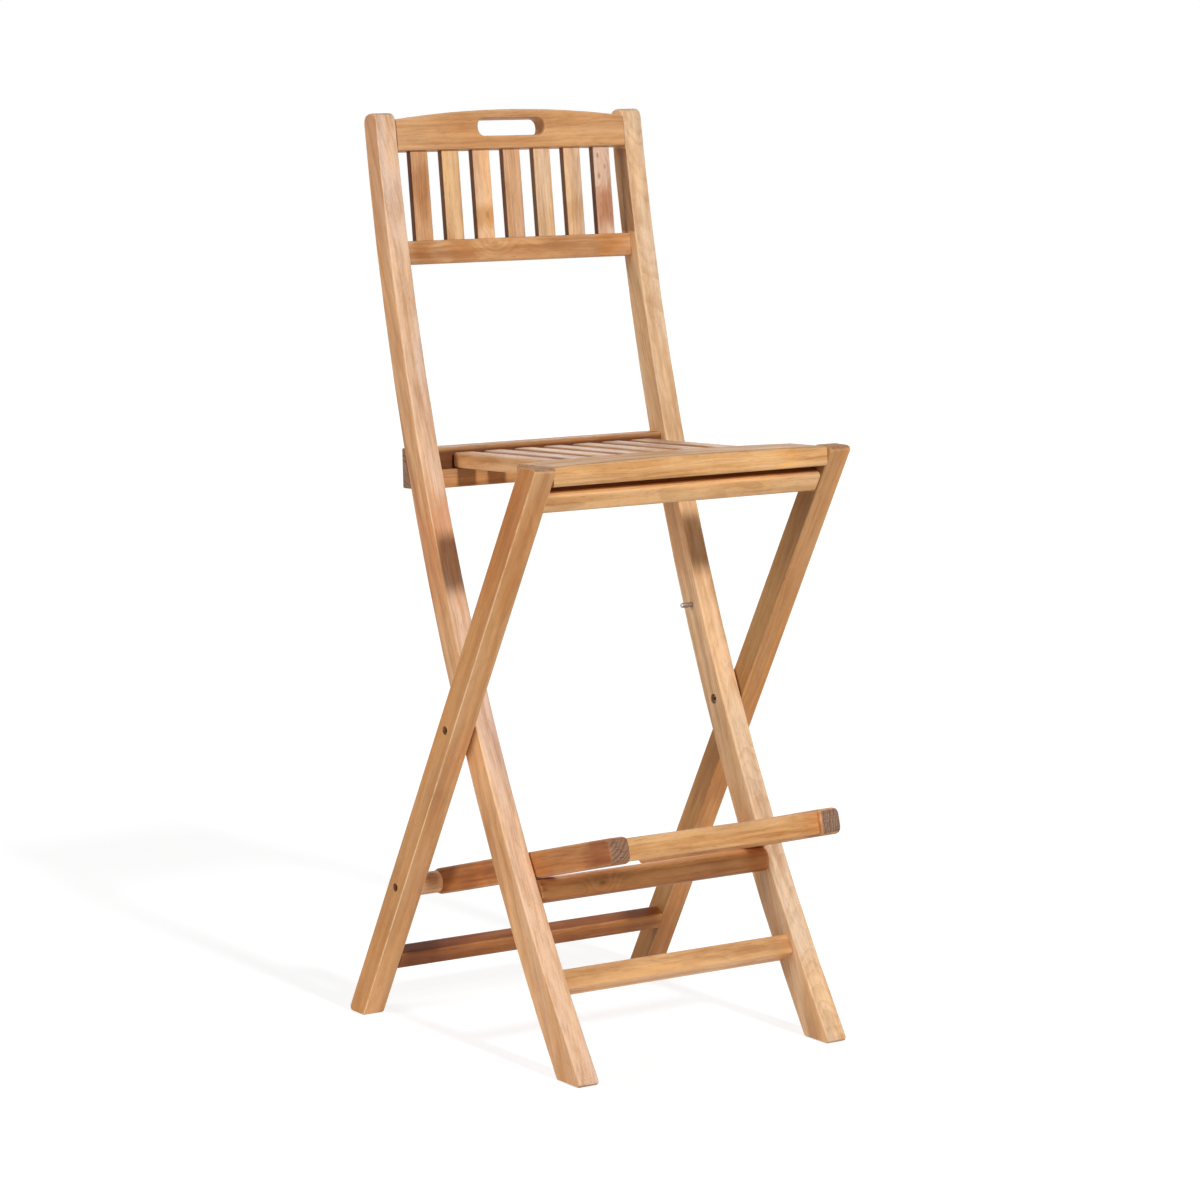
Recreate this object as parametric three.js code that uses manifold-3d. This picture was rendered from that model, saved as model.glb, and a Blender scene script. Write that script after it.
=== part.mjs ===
// Folding bar chair in teak, millimetres, +Z up, the sitter faces -Y.
// Two frames cross at a bolted pivot: the back frame runs from the front feet to the top of the back,
// the leg frame from the rear feet to the front edge of the seat. The seat hinges on the tops of the
// leg frame and rests on a rebated crossbar behind the posts of the back frame. The footrest hinges on
// the leg frame and rests on a rounded rail of the back frame.
import * as THREE from "three";
import { mergeVertices } from "three/addons/utils/BufferGeometryUtils.js";
import Module from "manifold-3d";

const wasm = await Module();
wasm.setup();

// Overall
const backHeight = 1148;
const seatHeight = 744;
const pivotHeight = 402;
const chairWidth = 467.4; // across the outer faces of the two legs
const fitGap = 0.3; // between pieces that touch
const overrun = 5; // how far a cutter runs past what it cuts
const weldTolerance = 0.0001; // vertices nearer than this are one

// Back posts, sawn to a gentle curve and deepest at the foot
const postWidth = 29;
const postFootDepth = 45;
const postTopDepth = 30;
const postBendRadius = 2850;
const postLeanAtPivot = THREE.MathUtils.degToRad(24.6);
const postArris = 2.2;
const postTopRounding = 11;
const postFootRounding = 5;
const postStations = 13;

// Legs, straight
const legWidth = 31;
const legDepth = 33;
const legLean = THREE.MathUtils.degToRad(28.8);
const legArris = 2.2;
const legTopRounding = 9;
const legFootRounding = 5;

// Tenons
const tenonLength = 16;
const tenonDepthShare = 0.42;
const tenonHeightShare = 0.66;

// Crest rail with its hand slot
const crestHeight = 39;
const crestRise = 11;
const crestThickness = 25;
const crestBelowTop = 48; // its bottom edge below the tops of the posts
const crestArris = 3;
const slotLength = 100;
const slotHeight = 22;
const slotAboveBottom = 16.5;
const slotRounding = 9.5;

// Lower back rail
const backRailHeight = 29.5;
const backRailDepth = 20;
const backRailBelowCrest = 124.5; // its middle below the bottom edge of the crest
const backRailLean = THREE.MathUtils.degToRad(6.5);
const backRailInset = 6.8; // centre line behind the centre line of the posts

// Back slats
const backSlatCount = 7;
const backSlatWidth = 26;
const backSlatThickness = 10;
const backSlatSideGap = 21; // from a post to the slat beside it
const backSlatTenon = 10;
const backSlatArris = 1.5;
const backSlatForward = 1.5; // ahead of the middle of the rails they join

// Rails of the back frame
const supportRailDiameter = 31;
const supportRailHeight = 207;
const supportRailForward = 10; // ahead of the centre line of the posts
const frontStretcherHeight = 26;
const frontStretcherDepth = 32;
const frontStretcherMiddleHeight = 107.5;
const frontStretcherInset = 3.5; // behind the centre line of the posts
const railArris = 3.5;

// Stop pins that meet the folded footrest
const stopPinDiameter = 6.6;
const stopPinLength = 34;
const stopPinReach = 16;
const stopPinAbovePivot = 127.5;

// Rails of the leg frame
const upperRailHeight = 26;
const upperRailDepth = 20;
const upperRailBelowHinge = 32; // its middle below the seat hinge
const upperRailForward = 3.7; // ahead of the centre line of the legs
const rearStretcherHeight = 25.4;
const rearStretcherDepth = 20;
const rearStretcherBelowPivot = 365;
const rearStretcherForward = 6.3; // ahead of the centre line of the legs

// Seat
const seatTilt = THREE.MathUtils.degToRad(2.5);
const seatHingeBelowTop = 13;
const seatRailDepth = 80;
const seatRailThickness = 24;
const seatRailCrown = 3;
const seatRailFront = 16; // front face ahead of the hinge
const seatRailArris = 3.5;
const seatSlatCount = 7;
const seatSlatWidth = 27;
const seatSlatThickness = 19;
const seatSlatSideGap = 25; // from a post to the slat beside it
const seatSlatDrop = 1; // top face below the ends of the front rail
const seatSlatTenon = 18;
const seatSlatArris = 2;
const seatSlatEndRounding = 4;

// Rear crossbar, screwed behind the posts, which carries the rear ends of the slats in a rebate
const crossbarBelowSeat = 9;
const crossbarBehindPosts = 4.5; // its rear face behind the rear edges of the posts
const crossbarLipDepth = 30.5;
const crossbarHeight = 50;
const crossbarLipRise = 7; // of the lip above the seat slats
const crossbarLedge = 12; // depth of the rebate under the slats
const crossbarArris = 2;
const crossbarLipGap = 3; // between the slats and the lip
const screwDiameter = 5;
const screwHeadDiameter = 10;
const screwHeadHeight = 3;
const screwLength = 36;
const screwAboveBottom = 17;

// Footrest
const footrestBelowPivot = 250;
const armWidth = 28;
const armHeight = 33;
const armReach = 405; // front end ahead of the hinge
const armTail = 14; // rear end behind the hinge
const armPostGap = 1;
const armArris = 3;
const armEndRounding = 9;
const armTailRounding = 14;
const footBarHeight = 28;
const footBarDepth = 29;
const footBarSetback = 7;
const spacerDiameter = 28;

// Bolts, nuts and hinge pins
const boltDiameter = 6;
const boltHeadDiameter = 10;
const boltHeadHeight = 6;
const boltSink = 4; // head below the face of the wood
const boltRounding = 1;
const keyAcrossFlats = 5;
const keyDepth = 2.6;
const pinChamfer = 0.8;
const nutBodyDiameter = 9;
const nutHeadDiameter = 12;
const nutHeadHeight = 4;
const nutSink = 2; // head below the face of the wood
const nutLength = 16;
const washerDiameter = 22;
const washerThickness = 1;
const seatPinDiameter = 8;
const seatPinLegGrip = 18; // depth in the leg
const seatPinRailGrip = 46; // depth in the seat rail
const armBoltGrip = 20; // depth in the footrest arm

// Faceting
const boreSides = 24;
const keySides = 6;
const arrisSteps = 2;
const cornerSteps = 3;
const slotEndSteps = 5;
const archSteps = 12;

// Colours and finishes
const teakTones = [0xb98052, 0xc4906a, 0xbf8a5c, 0xa87047, 0xcb9c70];
const teak = { roughness: 0.6, metalness: 0 };
const steel = { color: 0xb4b6b8, roughness: 0.32, metalness: 1 };

const legOuter = chairWidth / 2;
const legInner = legOuter - legWidth;
const postOuter = legInner - washerThickness - 2 * fitGap;
const postInner = postOuter - postWidth;
const armOuter = postInner - armPostGap;
const armInner = armOuter - armWidth;
const crestBottomHeight = backHeight - crestBelowTop;
const backRailMiddleHeight = crestBottomHeight - backRailBelowCrest;
const backSlatPitch = (2 * (postInner - backSlatSideGap) - backSlatWidth) / (backSlatCount - 1);
const seatSlatPitch = (2 * (postInner - seatSlatSideGap) - seatSlatWidth) / (seatSlatCount - 1);

// A closed outline from corners [across, up, rounding], each rounded one turned into a short arc.
function roundedOutline(corners, steps = cornerSteps) {
  const points = [];
  corners.forEach(([x, y, rounding], i) => {
    const here = new THREE.Vector2(x, y);
    if (!rounding) {
      points.push(here);
      return;
    }
    const [px, py] = corners[(i + corners.length - 1) % corners.length];
    const [nx, ny] = corners[(i + 1) % corners.length];
    const back = new THREE.Vector2(px, py).sub(here);
    const ahead = new THREE.Vector2(nx, ny).sub(here);
    const turn = Math.abs(back.angleTo(ahead));
    const trim = rounding / Math.tan(turn / 2);
    const from = here.clone().addScaledVector(back.normalize(), trim);
    const to = here.clone().addScaledVector(ahead.normalize(), trim);
    const centre = here.clone().addScaledVector(back.add(ahead).normalize(), rounding / Math.sin(turn / 2));
    const start = from.clone().sub(centre);
    const sweep = Math.PI - turn;
    const sense = Math.sign(start.cross(to.clone().sub(centre)));
    for (let k = 0; k <= steps; k++) {
      points.push(start.clone().rotateAround(new THREE.Vector2(), (sense * sweep * k) / steps).add(centre));
    }
  });
  return points;
}

// A manifold solid from a closed three.js geometry.
function solidOf(geometry) {
  const plain = geometry.clone();
  plain.deleteAttribute("normal");
  plain.deleteAttribute("uv");
  const merged = mergeVertices(plain, weldTolerance);
  const corners = merged.index.array;
  const faces = [];
  for (let i = 0; i < corners.length; i += 3) {
    const [a, b, c] = corners.slice(i, i + 3);
    if (a !== b && b !== c && c !== a) {
      faces.push(a, b, c);
    }
  }
  return new wasm.Manifold(
    new wasm.Mesh({
      numProp: 3,
      vertProperties: merged.attributes.position.array,
      triVerts: new Uint32Array(faces),
    }),
  );
}

function geometryOf(solid) {
  const mesh = solid.getMesh();
  const geometry = new THREE.BufferGeometry();
  geometry.setAttribute("position", new THREE.BufferAttribute(new Float32Array(mesh.vertProperties), 3));
  geometry.setIndex(new THREE.BufferAttribute(new Uint32Array(mesh.triVerts), 1));
  const faceted = geometry.toNonIndexed();
  faceted.computeVertexNormals();
  return faceted;
}

// Extrudes a side view, drawn as depth and height, across the width from one x to another.
function acrossWidth(outline, from, to, arris = 0) {
  const geometry = new THREE.ExtrudeGeometry(new THREE.Shape(outline), {
    depth: to - from - 2 * arris,
    bevelEnabled: arris > 0,
    bevelThickness: arris,
    bevelSize: arris,
    bevelOffset: -arris,
    bevelSegments: arrisSteps,
  });
  geometry.translate(0, 0, from + arris);
  const axes = new THREE.Matrix4().makeBasis(
    new THREE.Vector3(0, 1, 0),
    new THREE.Vector3(0, 0, 1),
    new THREE.Vector3(1, 0, 0),
  );
  return geometry.applyMatrix4(axes);
}

// Extrudes a front view, drawn as width and height, over a depth from front to rear.
function overDepth(shape, front, rear, arris) {
  const geometry = new THREE.ExtrudeGeometry(shape, {
    depth: rear - front - 2 * arris,
    bevelEnabled: true,
    bevelThickness: arris,
    bevelSize: arris,
    bevelOffset: -arris,
    bevelSegments: arrisSteps,
    curveSegments: archSteps,
  });
  geometry.rotateX(Math.PI / 2);
  return geometry.translate(0, rear - arris, 0);
}

// A rectangular section centred on the origin, depth by height, with rounded arrises.
function sectionOutline(depth, height, rounding) {
  const y = depth / 2;
  const z = height / 2;
  return roundedOutline([
    [-y, -z, rounding],
    [y, -z, rounding],
    [y, z, rounding],
    [-y, z, rounding],
  ]);
}

function block(width, depth, height, x, y, z) {
  return new THREE.BoxGeometry(width, depth, height).translate(x, y, z);
}

// A pin, bolt or nut turned about the x axis from a half profile of [x, radius] points.
function turned(profile) {
  const points = profile.map(([x, radius]) => new THREE.Vector2(radius, x));
  return new THREE.LatheGeometry(points, boreSides).rotateZ(-Math.PI / 2);
}

function cylinderAcross(diameter, from, to, y = 0, z = 0) {
  return turned([
    [from, 0],
    [from, diameter / 2],
    [to, diameter / 2],
    [to, 0],
  ]).translate(0, y, z);
}

// The same shape on the other side of the middle plane.
function mirrored(geometry) {
  const copy = geometry.clone().applyMatrix4(new THREE.Matrix4().makeScale(-1, 1, 1));
  const position = copy.index ? copy.toNonIndexed() : copy;
  const array = position.attributes.position.array;
  for (let i = 0; i < array.length; i += 9) {
    for (let k = 0; k < 3; k++) {
      [array[i + 3 + k], array[i + 6 + k]] = [array[i + 6 + k], array[i + 3 + k]];
    }
  }
  const flipped = new THREE.BufferGeometry();
  flipped.setAttribute("position", new THREE.BufferAttribute(array, 3));
  flipped.computeVertexNormals();
  return flipped;
}

function piece(name, geometry, tone = 0) {
  const finish = { ...teak, color: teakTones[tone % teakTones.length] };
  const mesh = new THREE.Mesh(geometry, new THREE.MeshStandardMaterial(finish));
  mesh.name = name;
  return mesh;
}

function steelPiece(name, geometry) {
  const mesh = new THREE.Mesh(geometry, new THREE.MeshStandardMaterial(steel));
  mesh.name = name;
  return mesh;
}

// Centre line of the posts: an arc through the pivot whose lean falls with height.
const bendCentreHeight = pivotHeight + postBendRadius * Math.sin(postLeanAtPivot);
const bendCentreDepth = -postBendRadius * Math.cos(postLeanAtPivot);

function leanAtHeight(height) {
  return Math.asin((bendCentreHeight - height) / postBendRadius);
}

function postDepthAt(lean) {
  const foot = leanAtHeight(0);
  const top = leanAtHeight(backHeight);
  return THREE.MathUtils.mapLinear(lean, foot, top, postFootDepth, postTopDepth);
}

function postPoint(lean, offset = 0) {
  const radius = postBendRadius + offset;
  return { y: bendCentreDepth + radius * Math.cos(lean), z: bendCentreHeight - radius * Math.sin(lean) };
}

function postEdge(height, sense, grow) {
  const lean = leanAtHeight(height);
  const point = postPoint(lean, sense * (postDepthAt(lean) / 2 + grow));
  return [point.y, point.z];
}

function postFootCorner(sense, grow) {
  const offset = sense * (postFootDepth / 2 + grow);
  const lean = Math.asin(bendCentreHeight / (postBendRadius + offset));
  return [postPoint(lean, offset).y, 0, grow ? 0 : postFootRounding];
}

// Side view of a post: up the rear edge, over the domed top and down the front edge.
function postOutline(grow = 0) {
  const rounding = grow ? 0 : postTopRounding;
  const heights = Array.from({ length: postStations }, (_, i) => (backHeight * (i + 1)) / (postStations + 1));
  return roundedOutline([
    postFootCorner(1, grow),
    ...heights.map((height) => postEdge(height, 1, grow)),
    [...postEdge(backHeight, 1, grow), rounding],
    [...postEdge(backHeight, -1, grow), rounding],
    ...heights.reverse().map((height) => postEdge(height, -1, grow)),
    postFootCorner(-1, grow),
  ]);
}

// A rail between the posts or legs: a bar with a tenon at each end.
function railGeometry(outline, depth, height, inner) {
  const reach = inner + tenonLength - fitGap;
  const tenon = block(2 * reach, depth * tenonDepthShare, height * tenonHeightShare, 0, 0, 0);
  const bar = acrossWidth(outline, fitGap - inner, inner - fitGap);
  return geometryOf(solidOf(bar).add(solidOf(tenon)));
}

function squareRail(depth, height, inner) {
  return railGeometry(sectionOutline(depth, height, railArris), depth, height, inner);
}

function mortise(depth, height, inner, place) {
  const grow = 2 * fitGap;
  const width = tenonLength + overrun;
  const hole = block(width, depth * tenonDepthShare + grow, height * tenonHeightShare + grow, 0, 0, 0);
  hole.translate(inner + tenonLength - width / 2, 0, 0);
  return solidOf(hole.rotateX(place.turn).translate(0, place.y, place.z));
}

function placeMatrix(place) {
  const turn = new THREE.Matrix4().makeRotationX(place.turn);
  return new THREE.Matrix4().makeTranslation(0, place.y, place.z).multiply(turn);
}

function placed(mesh, place) {
  mesh.position.set(0, place.y, place.z);
  mesh.rotation.x = place.turn;
  return mesh;
}

// Places of the rails on the posts
function onPost(height, inset = 0) {
  const lean = leanAtHeight(height);
  return { ...postPoint(lean, inset), turn: -lean };
}

const crestPlace = onPost(crestBottomHeight, (crestThickness - postTopDepth) / 2);
const backRailPlace = { ...onPost(backRailMiddleHeight, backRailInset), turn: -backRailLean };
const supportRailPlace = onPost(supportRailHeight, -supportRailForward);
const frontStretcherPlace = onPost(frontStretcherMiddleHeight, frontStretcherInset);

const crestMortiseShift = new THREE.Vector2(0, crestHeight / 2).rotateAround(new THREE.Vector2(), crestPlace.turn);
const crestMortisePlace = {
  y: crestPlace.y + crestMortiseShift.x,
  z: crestPlace.z + crestMortiseShift.y,
  turn: crestPlace.turn,
};

// Hinge of the seat, in the frame of the legs and in the frame of the whole chair
const seatHingeHeight = seatHeight - seatHingeBelowTop;
const seatHingeAbovePivot = (seatHingeHeight - pivotHeight) / Math.cos(legLean);
const seatHingeDepth = -seatHingeAbovePivot * Math.sin(legLean);

const slatTop = seatRailThickness / 2 - seatSlatDrop;
const slatBottom = slatTop - seatSlatThickness;

// The crossbar follows the posts, and the seat slats reach back to its lip.
const crossbarRear = postEdge(seatHeight - crossbarBelowSeat, 1, 0)[0] + crossbarBehindPosts;
const crossbarReach = (crossbarRear - seatHingeDepth) / Math.cos(seatTilt);
const seatSlatReach = crossbarReach - crossbarLipDepth - crossbarLipGap;
const crossbarPlace = { y: seatHingeDepth, z: seatHingeHeight, turn: -seatTilt };
const crossbarBottom = slatTop + crossbarLipRise - crossbarHeight;

// Side view of the crossbar, measured from the seat hinge along the open seat
function crossbarOutline() {
  const top = slatTop + crossbarLipRise;
  const bottom = crossbarBottom;
  const lip = crossbarReach - crossbarLipDepth;
  const front = lip - crossbarLedge;
  const ledge = slatBottom - fitGap;
  return roundedOutline([
    [front, bottom, crossbarArris],
    [crossbarReach, bottom, crossbarArris],
    [crossbarReach, top, crossbarArris],
    [lip, top, crossbarArris],
    [lip, ledge],
    [front, ledge, crossbarArris],
  ]);
}

const boltHead = [boltDiameter, boltHeadDiameter, boltHeadHeight];

// Hexagon recess for a key, centred on a face that looks along x
function keyRecess(face, bottom) {
  const radius = keyAcrossFlats / Math.sqrt(3);
  const away = Math.sign(face - bottom) * overrun;
  const length = Math.abs(face + away - bottom);
  const recess = new THREE.CylinderGeometry(radius, radius, length, keySides).rotateZ(Math.PI / 2);
  return solidOf(recess.translate((face + away + bottom) / 2, 0, 0));
}

// Bolt along x: head outermost, shank running inwards, a hexagon key recess in the head
function bolt(headFace, end, diameter, headDiameter, headHeight) {
  const body = turned([
    [end, 0],
    [end, diameter / 2 - pinChamfer],
    [end + pinChamfer, diameter / 2],
    [headFace - headHeight, diameter / 2],
    [headFace - headHeight, headDiameter / 2],
    [headFace - boltRounding, headDiameter / 2],
    [headFace, headDiameter / 2 - boltRounding],
    [headFace, 0],
  ]);
  return geometryOf(solidOf(body).subtract(keyRecess(headFace, headFace - keyDepth)));
}

function boltHole(headFace, end, diameter, headDiameter, headHeight) {
  const wide = cylinderAcross(headDiameter + 2 * fitGap, headFace - headHeight - fitGap, headFace + overrun);
  const long = cylinderAcross(diameter + 2 * fitGap, end - fitGap, headFace);
  return solidOf(wide).add(solidOf(long));
}

// Turns a bolt drawn along x into a screw driven forwards through the crossbar into the right post.
function asCrossbarScrew(geometry) {
  geometry.rotateZ(Math.PI / 2);
  return geometry.translate((postInner + postOuter) / 2, crossbarReach, crossbarBottom + screwAboveBottom);
}

const screwHead = [screwDiameter, screwHeadDiameter, screwHeadHeight];

function crossbarScrew() {
  return asCrossbarScrew(bolt(-boltSink, -boltSink - screwLength, ...screwHead));
}

function crossbarScrewHole() {
  return solidOf(asCrossbarScrew(geometryOf(boltHole(-boltSink, -boltSink - screwLength, ...screwHead))));
}

// The crossbar runs behind the posts, and its ends are cut to the slope of their rear edges.
function rearCrossbar() {
  const fromChair = placeMatrix(crossbarPlace).invert();
  const post = acrossWidth(postOutline(fitGap), postInner - fitGap, postOuter + overrun);
  const cutter = solidOf(post.applyMatrix4(fromChair)).add(crossbarScrewHole());
  const bar = solidOf(acrossWidth(crossbarOutline(), -postOuter, postOuter));
  return geometryOf(withCuts(bar, [cutter, solidOf(mirrored(geometryOf(cutter)))]));
}

const nutFace = postInner + nutSink;
const nutShoulder = nutFace + nutHeadHeight;
const nutEnd = nutFace + nutLength;

// Barrel nut in the inner face of a post, with a bore for the end of the pivot bolt
function barrelNut() {
  const body = turned([
    [nutFace, 0],
    [nutFace, nutHeadDiameter / 2 - boltRounding],
    [nutFace + boltRounding, nutHeadDiameter / 2],
    [nutShoulder, nutHeadDiameter / 2],
    [nutShoulder, nutBodyDiameter / 2],
    [nutEnd, nutBodyDiameter / 2],
    [nutEnd, 0],
  ]);
  const bore = cylinderAcross(boltDiameter + 2 * fitGap, nutShoulder, nutEnd + overrun);
  return geometryOf(withCuts(solidOf(body), [solidOf(bore), keyRecess(nutFace, nutFace + keyDepth)]));
}

function nutHole() {
  const outside = postInner - overrun;
  const wide = cylinderAcross(nutHeadDiameter + 2 * fitGap, outside, nutShoulder + fitGap);
  const body = cylinderAcross(nutBodyDiameter + 2 * fitGap, outside, nutEnd + fitGap);
  return solidOf(wide).add(solidOf(body));
}

const pivotBoltFace = legOuter - boltSink;
const pivotBoltEnd = nutShoulder + fitGap;
const stopPinPlace = onPost(pivotHeight + stopPinAbovePivot * Math.cos(postLeanAtPivot));
const stopPinTip = postInner - stopPinReach;

// A back post, with the mortises of its rails and the bores of its bolts and pins
function backPost() {
  const blank = solidOf(acrossWidth(postOutline(), postInner, postOuter, postArris));
  const bore = boltDiameter + 2 * fitGap;
  const pivotBore = cylinderAcross(bore, postInner - overrun, postOuter + overrun, 0, pivotHeight);
  const pinDepth = stopPinTip + stopPinLength + fitGap;
  const pinBore = cylinderAcross(
    stopPinDiameter + 2 * fitGap,
    stopPinTip,
    pinDepth,
    stopPinPlace.y,
    stopPinPlace.z,
  );
  return geometryOf(
    blank
      .subtract(mortise(crestThickness, crestHeight, postInner, crestMortisePlace))
      .subtract(mortise(backRailDepth, backRailHeight, postInner, backRailPlace))
      .subtract(mortise(supportRailDiameter, supportRailDiameter, postInner, supportRailPlace))
      .subtract(mortise(frontStretcherDepth, frontStretcherHeight, postInner, frontStretcherPlace))
      .subtract(solidOf(pivotBore))
      .subtract(nutHole().translate([0, 0, pivotHeight]))
      .subtract(solidOf(pinBore))
      .subtract(solidOf(geometryOf(crossbarScrewHole()).applyMatrix4(placeMatrix(crossbarPlace)))),
  );
}

// Crest rail: arched top, straight bottom and a hand slot with round ends
function crestRail() {
  const half = postInner + overrun;
  const shape = new THREE.Shape();
  shape.moveTo(-half, 0);
  shape.lineTo(half, 0);
  shape.lineTo(half, crestHeight);
  shape.quadraticCurveTo(0, crestHeight + 2 * crestRise, -half, crestHeight);
  const x = slotLength / 2;
  const low = slotAboveBottom;
  const high = slotAboveBottom + slotHeight;
  const slot = roundedOutline([
    [-x, low, slotRounding],
    [-x, high, slotRounding],
    [x, high, slotRounding],
    [x, low, slotRounding],
  ], slotEndSteps);
  shape.holes.push(new THREE.Path(slot));
  const board = solidOf(overDepth(shape, -crestThickness / 2, crestThickness / 2, crestArris));
  const inner = postInner - fitGap;
  const trim = block(2 * inner, 2 * crestThickness, 4 * crestHeight, 0, 0, 0);
  const reach = inner + tenonLength;
  const depth = crestThickness * tenonDepthShare;
  const tenon = block(2 * reach, depth, crestHeight * tenonHeightShare, 0, 0, crestHeight / 2);
  const clear = block(2 * (inner - tenonLength), 2 * crestThickness, 2 * crestHeight, 0, 0, crestHeight / 2);
  const tenons = solidOf(tenon).subtract(solidOf(clear));
  return board.intersect(solidOf(trim)).add(tenons);
}

function slatX(index, count, pitch) {
  return (index - (count - 1) / 2) * pitch;
}

// Back slats run from the lower back rail to the crest
const slatFoot = { y: backRailPlace.y, z: backRailPlace.z };
const slatHead = { y: crestMortisePlace.y, z: crestMortisePlace.z };
const slatLean = Math.atan2(slatHead.y - slatFoot.y, slatHead.z - slatFoot.z);
const slatSpan = Math.hypot(slatHead.y - slatFoot.y, slatHead.z - slatFoot.z);
const backSlatPlace = { y: slatFoot.y - backSlatForward, z: slatFoot.z, turn: -slatLean };

function backSlatGeometry(x, grow = 0) {
  const from = backRailHeight / 2 - backSlatTenon - grow;
  const to = slatSpan - crestHeight / 2 + backSlatTenon + grow;
  const side = backSlatThickness / 2 + grow;
  const outline = [
    new THREE.Vector2(-side, from),
    new THREE.Vector2(side, from),
    new THREE.Vector2(side, to),
    new THREE.Vector2(-side, to),
  ];
  const half = backSlatWidth / 2 + grow;
  return acrossWidth(outline, x - half, x + half, grow ? 0 : backSlatArris);
}

function slatMortises(place) {
  const cutters = Array.from({ length: backSlatCount }, (_, i) =>
    backSlatGeometry(slatX(i, backSlatCount, backSlatPitch), fitGap),
  );
  const toRail = placeMatrix(place).invert().multiply(placeMatrix(backSlatPlace));
  return cutters.map((cutter) => solidOf(cutter.applyMatrix4(toRail)));
}

function withCuts(solid, cutters) {
  return cutters.reduce((rest, cutter) => rest.subtract(cutter), solid);
}

function backFrame() {
  const group = new THREE.Group();
  group.name = "back_frame";
  const post = backPost();
  group.add(piece("back_post_left", mirrored(post), 1));
  group.add(piece("back_post_right", post, 4));
  group.add(placed(piece("crest_rail", geometryOf(withCuts(crestRail(), slatMortises(crestPlace))), 2), crestPlace));
  const lower = squareRail(backRailDepth, backRailHeight, postInner);
  const lowerCut = geometryOf(withCuts(solidOf(lower), slatMortises(backRailPlace)));
  group.add(placed(piece("lower_back_rail", lowerCut, 2), backRailPlace));
  for (let i = 0; i < backSlatCount; i++) {
    const slat = backSlatGeometry(slatX(i, backSlatCount, backSlatPitch));
    group.add(placed(piece(`back_slat_${i + 1}`, slat, i), backSlatPlace));
  }
  const round = new THREE.EllipseCurve(0, 0, supportRailDiameter / 2, supportRailDiameter / 2).getPoints(boreSides);
  const support = railGeometry(round.slice(1), supportRailDiameter, supportRailDiameter, postInner);
  group.add(placed(piece("footrest_support_rail", support, 2), supportRailPlace));
  const stretcher = squareRail(frontStretcherDepth, frontStretcherHeight, postInner);
  group.add(placed(piece("front_stretcher", stretcher, 4), frontStretcherPlace));
  const pin = plainPin(stopPinDiameter, stopPinTip, stopPinTip + stopPinLength);
  pin.translate(0, stopPinPlace.y, stopPinPlace.z);
  group.add(steelPiece("stop_pin_left", mirrored(pin)));
  group.add(steelPiece("stop_pin_right", pin));
  group.add(placed(piece("seat_rear_crossbar", rearCrossbar(), 3), crossbarPlace));
  group.add(placed(steelPiece("crossbar_screw_left", mirrored(crossbarScrew())), crossbarPlace));
  group.add(placed(steelPiece("crossbar_screw_right", crossbarScrew()), crossbarPlace));
  return group;
}

// Side view of a leg in the frame of the legs: both ends are cut level with the floor
function legOutline() {
  const y = legDepth / 2;
  const level = (height, depth) => (height - pivotHeight - depth * Math.sin(legLean)) / Math.cos(legLean);
  return roundedOutline([
    [-y, level(0, -y), legFootRounding],
    [y, level(0, y), legFootRounding],
    [y, level(seatHeight, y), legTopRounding],
    [-y, level(seatHeight, -y), legFootRounding],
  ]);
}

const upperRailPlace = { y: -upperRailForward, z: seatHingeAbovePivot - upperRailBelowHinge, turn: 0 };
const rearStretcherPlace = { y: -rearStretcherForward, z: -rearStretcherBelowPivot, turn: 0 };
const seatPinInner = legInner - seatPinRailGrip;
const seatPinOuter = legInner + seatPinLegGrip;
const footBoltEnd = armOuter - armBoltGrip;

// Round pin, chamfered at both ends
function plainPin(diameter, from, to) {
  return turned([
    [from, 0],
    [from, diameter / 2 - pinChamfer],
    [from + pinChamfer, diameter / 2],
    [to - pinChamfer, diameter / 2],
    [to, diameter / 2 - pinChamfer],
    [to, 0],
  ]);
}

// Bore for the pin that hinges the seat, which stays hidden inside the leg and the rail
function seatPinHole(end) {
  return solidOf(cylinderAcross(seatPinDiameter + 2 * fitGap, seatPinInner - fitGap, end));
}

function legPiece() {
  return geometryOf(
    solidOf(acrossWidth(legOutline(), legInner, legOuter, legArris))
      .subtract(mortise(upperRailDepth, upperRailHeight, legInner, upperRailPlace))
      .subtract(mortise(rearStretcherDepth, rearStretcherHeight, legInner, rearStretcherPlace))
      .subtract(boltHole(pivotBoltFace, pivotBoltEnd, ...boltHead))
      .subtract(seatPinHole(seatPinOuter + fitGap).translate([0, 0, seatHingeAbovePivot]))
      .subtract(boltHole(pivotBoltFace, footBoltEnd, ...boltHead).translate([0, 0, -footrestBelowPivot])),
  );
}

function washer() {
  const from = postOuter + fitGap;
  return turned([
    [from, boltDiameter / 2 + fitGap],
    [from, washerDiameter / 2],
    [from + washerThickness, washerDiameter / 2],
    [from + washerThickness, boltDiameter / 2 + fitGap],
    [from, boltDiameter / 2 + fitGap],
  ]);
}

function addPair(group, name, geometry) {
  group.add(steelPiece(`${name}_left`, mirrored(geometry)));
  group.add(steelPiece(`${name}_right`, geometry));
}

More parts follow.
